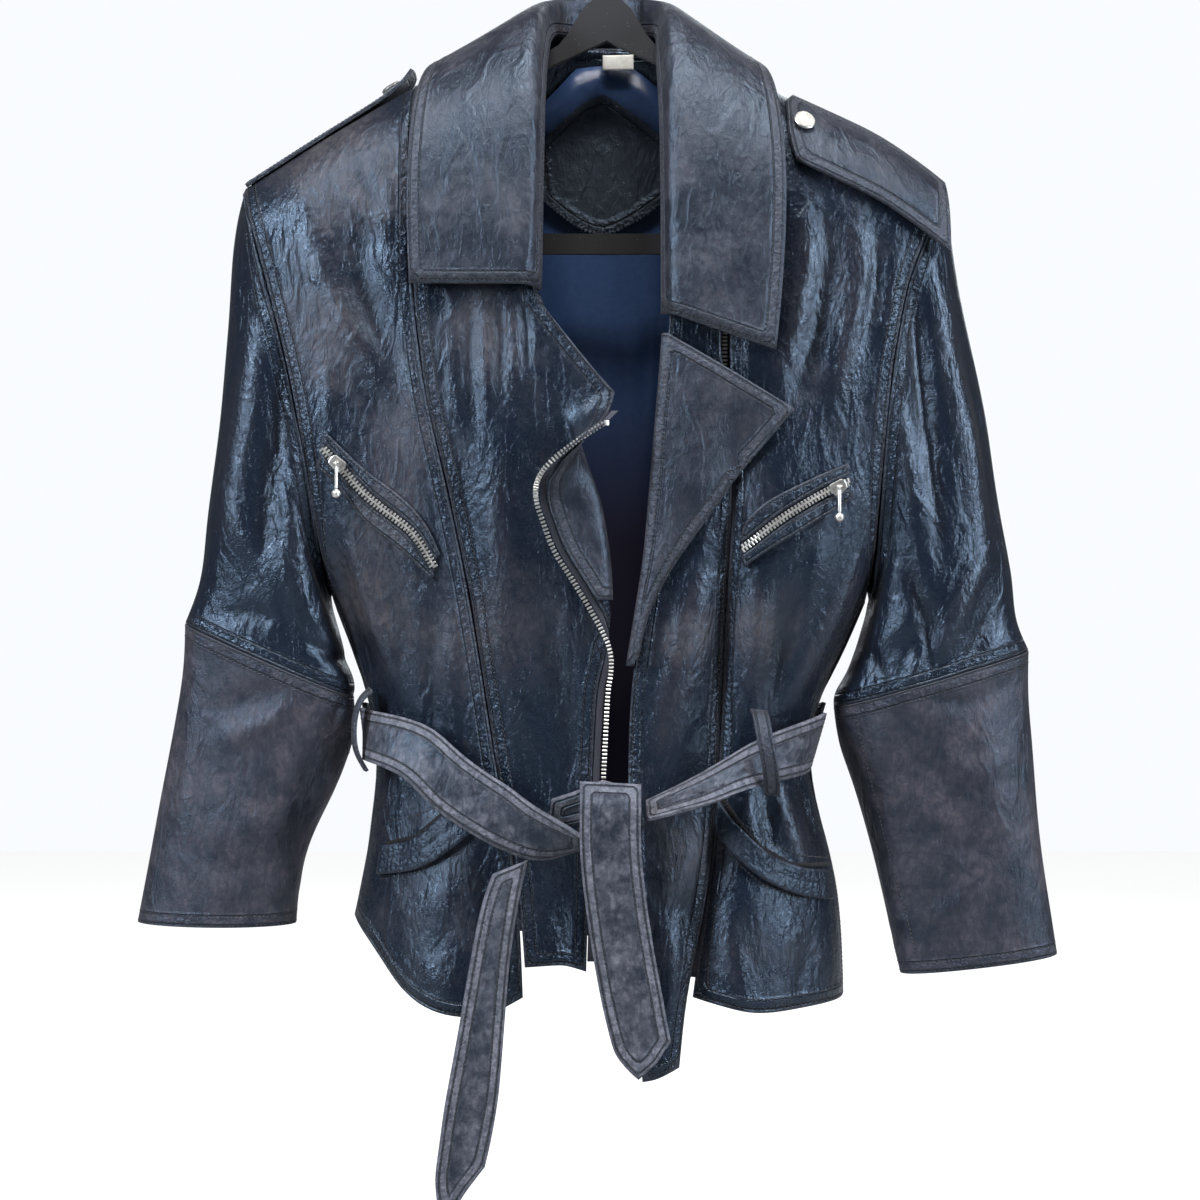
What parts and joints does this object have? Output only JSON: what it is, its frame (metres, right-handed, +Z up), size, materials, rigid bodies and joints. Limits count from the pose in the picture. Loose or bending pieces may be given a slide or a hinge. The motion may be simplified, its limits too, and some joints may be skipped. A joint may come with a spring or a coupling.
{
  "type": "leather jacket on hanger",
  "caption": "Worn navy leather biker jacket, open, with lapels, slanted zip and tied belt, hanging on a slim flocked hanger.",
  "frame": {"origin": "hang point, inside the top of the hanger's hook", "axes": "+Z up, the jacket's front faces -Y, +X towards the wearer's left"},
  "size_m": [0.6417, 0.1775, 0.9085],
  "materials": {
    "leather_navy": "semi-gloss, creased",
    "leather_worn": "scuffed, matt",
    "lining": "satin",
    "zip_tape": "woven, matt",
    "zip_metal": "nickel, lightly tarnished",
    "label_leather": "matt",
    "tag_white": "woven, matt",
    "hanger_flock": "flocked",
    "hook_chrome": "polished"
  },
  "bodies": {
    "jacket": {"back_panel": "leather_navy", "belt_back": "leather_worn", "belt_front_end": "leather_worn", "belt_knot": "leather_worn", "belt_left": "leather_worn", "belt_long_end": "leather_worn", "belt_loop_back": "leather_navy", "belt_loop_left": "leather_navy", "belt_loop_right": "leather_navy", "belt_right": "leather_worn", "chest_welt_lower_left": "leather_navy", "chest_welt_lower_right": "leather_navy", "chest_welt_upper_left": "leather_navy", "chest_welt_upper_right": "leather_navy", "chest_zip_left": "zip_metal", "chest_zip_right": "zip_metal", "collar": "leather_worn", "epaulette_left": "leather_navy", "epaulette_right": "leather_navy", "facing_right": "leather_worn", "front_centre_right": "leather_navy", "front_side_left": "leather_navy", "front_side_right": "leather_navy", "hanger": "hanger_flock", "hanger_hook": "hook_chrome", "hip_welt_left": "leather_navy", "hip_welt_right": "leather_navy", "label_patch": "label_leather", "lapel_left": "leather_worn", "lining_back": "lining", "lower_sleeve_left": "leather_worn", "lower_sleeve_right": "leather_worn", "main_zip_tape_left": "zip_tape", "main_zip_tape_right": "zip_tape", "main_zip_teeth_left": "zip_metal", "main_zip_teeth_right": "zip_metal", "overlap_flap_left": "leather_navy", "size_tag": "tag_white", "slider_left": "zip_metal", "slider_right": "zip_metal", "snap_left": "zip_metal", "snap_right": "zip_metal", "upper_sleeve_left": "leather_navy", "upper_sleeve_right": "leather_navy"},
    "pull_right": {"pull_right": "zip_metal"},
    "pull_left": {"pull_left": "zip_metal"}
  },
  "joints": [
    {"name": "pull_right_swing", "type": "hinge", "parent": "jacket", "child": "pull_right", "pos_m": [-0.18155, -0.06554, -0.40022], "axis": [-1, 0, 0], "range_deg": [0, 150]},
    {"name": "pull_left_swing", "type": "hinge", "parent": "jacket", "child": "pull_left", "pos_m": [0.1553, -0.06677, -0.41612], "axis": [-1, 0, 0], "range_deg": [0, 150]}
  ]
}
